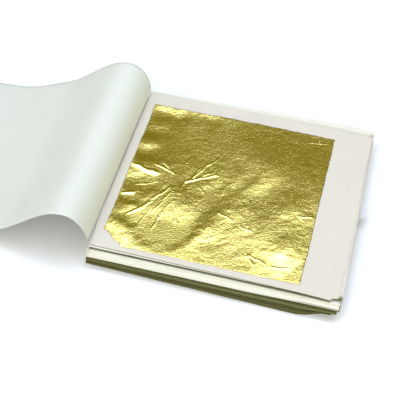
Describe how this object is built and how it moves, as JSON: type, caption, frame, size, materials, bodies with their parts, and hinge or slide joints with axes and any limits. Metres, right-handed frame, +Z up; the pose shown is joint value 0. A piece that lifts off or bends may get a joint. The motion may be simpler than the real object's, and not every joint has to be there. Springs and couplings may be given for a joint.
{
  "type": "gold leaf booklet",
  "caption": "Booklet of thin tissue sheets glued at the spine, a crinkled gold leaf lying on each, with the first sheet turned over in an arch.",
  "frame": {"origin": "on the back cover's underside, where the booklet rests, below the middle of the sheets", "axes": "+X from the spine to the fore-edge, +Y from the front edge to the back edge, +Z up through the stack"},
  "size_m": [0.1883, 0.0993, 0.0232],
  "materials": {
    "cover_paper": "uncoated thin paper, slightly cockled",
    "tissue": "matte tissue, faint fibres, translucent",
    "turned_tissue": "matte tissue, translucent, cool white",
    "gold_leaf": "burnished metal leaf with fine wrinkles",
    "slip_paper": "matte lavender paper",
    "padding_glue": "dried padding glue, satin"
  },
  "bodies": {
    "cover": {"back_cover": "cover_paper", "spine_glue": "padding_glue"},
    "turned": {"turned_sheet": "turned_tissue"},
    "page_01": {"sheet_01": "tissue"},
    "page_02": {"sheet_02": "tissue", "leaf_02": "gold_leaf"},
    "page_03": {"sheet_03": "tissue", "leaf_03": "gold_leaf"},
    "page_04": {"sheet_04": "tissue", "leaf_04": "gold_leaf"},
    "page_05": {"sheet_05": "tissue", "leaf_05": "gold_leaf"},
    "page_06": {"sheet_06": "tissue", "leaf_06": "gold_leaf"},
    "page_07": {"sheet_07": "tissue", "leaf_07": "gold_leaf"},
    "page_08": {"sheet_08": "tissue", "leaf_08": "gold_leaf"},
    "page_09": {"sheet_09": "tissue", "leaf_09": "gold_leaf"},
    "page_10": {"sheet_10": "tissue", "leaf_10": "gold_leaf"},
    "page_11": {"sheet_11": "tissue", "leaf_11": "gold_leaf"},
    "page_12": {"sheet_12": "tissue", "leaf_12": "gold_leaf"},
    "page_13": {"sheet_13": "tissue", "leaf_13": "gold_leaf"},
    "page_14": {"sheet_14": "tissue", "leaf_14": "gold_leaf"},
    "page_15": {"sheet_15": "tissue", "leaf_15": "gold_leaf"},
    "page_16": {"sheet_16": "tissue", "leaf_16": "gold_leaf"},
    "page_17": {"sheet_17": "tissue", "leaf_17": "gold_leaf"},
    "page_18": {"sheet_18": "tissue", "leaf_18": "gold_leaf"},
    "page_19": {"sheet_19": "tissue", "leaf_19": "gold_leaf"},
    "page_20": {"sheet_20": "tissue", "leaf_20": "gold_leaf"},
    "page_21": {"sheet_21": "tissue", "leaf_21": "gold_leaf"},
    "page_22": {"sheet_22": "tissue", "leaf_22": "gold_leaf"},
    "page_23": {"sheet_23": "tissue", "leaf_23": "gold_leaf"},
    "page_24": {"sheet_24": "tissue", "leaf_24": "gold_leaf"},
    "page_25": {"sheet_25": "tissue", "leaf_25": "gold_leaf"},
    "top_leaf": {"leaf_01": "gold_leaf"},
    "slip": {"slip": "slip_paper"}
  },
  "joints": [
    {"name": "turned_sheet_turn", "type": "hinge", "parent": "cover", "child": "turned", "pos_m": [-0.05, 0, 0.00911], "axis": [0, -1, 0], "range_deg": [-176, 0], "deforming": ["turned_sheet"]},
    {"name": "page_fan", "type": "hinge", "parent": "cover", "child": "page_02", "pos_m": [-0.05, 0, 0.00789], "axis": [0, -1, 0], "range_deg": [0, 30]},
    {"name": "page_03_turn", "type": "hinge", "parent": "cover", "child": "page_03", "pos_m": [-0.05, 0, 0.00756], "axis": [0, -1, 0], "range_deg": [0, 29.25]},
    {"name": "page_04_turn", "type": "hinge", "parent": "cover", "child": "page_04", "pos_m": [-0.05, 0, 0.00724], "axis": [0, -1, 0], "range_deg": [0, 28]},
    {"name": "page_05_turn", "type": "hinge", "parent": "cover", "child": "page_05", "pos_m": [-0.05, 0, 0.00691], "axis": [0, -1, 0], "range_deg": [0, 26.75]},
    {"name": "page_06_turn", "type": "hinge", "parent": "cover", "child": "page_06", "pos_m": [-0.05, 0, 0.00659], "axis": [0, -1, 0], "range_deg": [0, 25.5]},
    {"name": "page_07_turn", "type": "hinge", "parent": "cover", "child": "page_07", "pos_m": [-0.05, 0, 0.00626], "axis": [0, -1, 0], "range_deg": [0, 24.25]},
    {"name": "page_08_turn", "type": "hinge", "parent": "cover", "child": "page_08", "pos_m": [-0.05, 0, 0.00594], "axis": [0, -1, 0], "range_deg": [0, 23]},
    {"name": "page_09_turn", "type": "hinge", "parent": "cover", "child": "page_09", "pos_m": [-0.05, 0, 0.00561], "axis": [0, -1, 0], "range_deg": [0, 21.75]},
    {"name": "page_10_turn", "type": "hinge", "parent": "cover", "child": "page_10", "pos_m": [-0.05, 0, 0.00529], "axis": [0, -1, 0], "range_deg": [0, 20.5]},
    {"name": "page_11_turn", "type": "hinge", "parent": "cover", "child": "page_11", "pos_m": [-0.05, 0, 0.00496], "axis": [0, -1, 0], "range_deg": [0, 19.25]},
    {"name": "page_12_turn", "type": "hinge", "parent": "cover", "child": "page_12", "pos_m": [-0.05, 0, 0.00464], "axis": [0, -1, 0], "range_deg": [0, 18]},
    {"name": "page_13_turn", "type": "hinge", "parent": "cover", "child": "page_13", "pos_m": [-0.05, 0, 0.00431], "axis": [0, -1, 0], "range_deg": [0, 16.75]},
    {"name": "page_14_turn", "type": "hinge", "parent": "cover", "child": "page_14", "pos_m": [-0.05, 0, 0.00399], "axis": [0, -1, 0], "range_deg": [0, 15.5]},
    {"name": "page_15_turn", "type": "hinge", "parent": "cover", "child": "page_15", "pos_m": [-0.05, 0, 0.00366], "axis": [0, -1, 0], "range_deg": [0, 14.25]},
    {"name": "page_16_turn", "type": "hinge", "parent": "cover", "child": "page_16", "pos_m": [-0.05, 0, 0.00334], "axis": [0, -1, 0], "range_deg": [0, 13]},
    {"name": "page_17_turn", "type": "hinge", "parent": "cover", "child": "page_17", "pos_m": [-0.05, 0, 0.00301], "axis": [0, -1, 0], "range_deg": [0, 11.75]},
    {"name": "page_18_turn", "type": "hinge", "parent": "cover", "child": "page_18", "pos_m": [-0.05, 0, 0.00269], "axis": [0, -1, 0], "range_deg": [0, 10.5]},
    {"name": "page_19_turn", "type": "hinge", "parent": "cover", "child": "page_19", "pos_m": [-0.05, 0, 0.00236], "axis": [0, -1, 0], "range_deg": [0, 9.25]},
    {"name": "page_20_turn", "type": "hinge", "parent": "cover", "child": "page_20", "pos_m": [-0.05, 0, 0.00204], "axis": [0, -1, 0], "range_deg": [0, 8]},
    {"name": "page_21_turn", "type": "hinge", "parent": "cover", "child": "page_21", "pos_m": [-0.05, 0, 0.00171], "axis": [0, -1, 0], "range_deg": [0, 6.75]},
    {"name": "page_22_turn", "type": "hinge", "parent": "cover", "child": "page_22", "pos_m": [-0.05, 0, 0.00139], "axis": [0, -1, 0], "range_deg": [0, 5.5]},
    {"name": "page_23_turn", "type": "hinge", "parent": "cover", "child": "page_23", "pos_m": [-0.05, 0, 0.00106], "axis": [0, -1, 0], "range_deg": [0, 4.25]},
    {"name": "page_24_turn", "type": "hinge", "parent": "cover", "child": "page_24", "pos_m": [-0.05, 0, 0.00074], "axis": [0, -1, 0], "range_deg": [0, 3]},
    {"name": "page_25_turn", "type": "hinge", "parent": "cover", "child": "page_25", "pos_m": [-0.05, 0, 0.00041], "axis": [0, -1, 0], "range_deg": [0, 1.75]},
    {"name": "top_sheet_turn", "type": "hinge", "parent": "page_02", "child": "page_01", "pos_m": [-0.05, 0, 0.00821], "axis": [0, -1, 0], "range_deg": [0, 30]},
    {"name": "top_leaf_lift", "type": "slide", "parent": "page_01", "child": "top_leaf", "axis": [0.7071, 0, 0.7071], "range_m": [0, 0.03]},
    {"name": "slip_pull", "type": "slide", "parent": "page_09", "child": "slip", "axis": [0.9993, 0, -0.0377], "range_m": [0, 0.01]}
  ],
  "couplings": [
    {"joint": "page_03_turn", "follows": "page_fan", "ratio": 0.95833},
    {"joint": "page_04_turn", "follows": "page_fan", "ratio": 0.91667},
    {"joint": "page_05_turn", "follows": "page_fan", "ratio": 0.875},
    {"joint": "page_06_turn", "follows": "page_fan", "ratio": 0.83333},
    {"joint": "page_07_turn", "follows": "page_fan", "ratio": 0.79167},
    {"joint": "page_08_turn", "follows": "page_fan", "ratio": 0.75},
    {"joint": "page_09_turn", "follows": "page_fan", "ratio": 0.70833},
    {"joint": "page_10_turn", "follows": "page_fan", "ratio": 0.66667},
    {"joint": "page_11_turn", "follows": "page_fan", "ratio": 0.625},
    {"joint": "page_12_turn", "follows": "page_fan", "ratio": 0.58333},
    {"joint": "page_13_turn", "follows": "page_fan", "ratio": 0.54167},
    {"joint": "page_14_turn", "follows": "page_fan", "ratio": 0.5},
    {"joint": "page_15_turn", "follows": "page_fan", "ratio": 0.45833},
    {"joint": "page_16_turn", "follows": "page_fan", "ratio": 0.41667},
    {"joint": "page_17_turn", "follows": "page_fan", "ratio": 0.375},
    {"joint": "page_18_turn", "follows": "page_fan", "ratio": 0.33333},
    {"joint": "page_19_turn", "follows": "page_fan", "ratio": 0.29167},
    {"joint": "page_20_turn", "follows": "page_fan", "ratio": 0.25},
    {"joint": "page_21_turn", "follows": "page_fan", "ratio": 0.20833},
    {"joint": "page_22_turn", "follows": "page_fan", "ratio": 0.16667},
    {"joint": "page_23_turn", "follows": "page_fan", "ratio": 0.125},
    {"joint": "page_24_turn", "follows": "page_fan", "ratio": 0.083333},
    {"joint": "page_25_turn", "follows": "page_fan", "ratio": 0.041667}
  ]
}
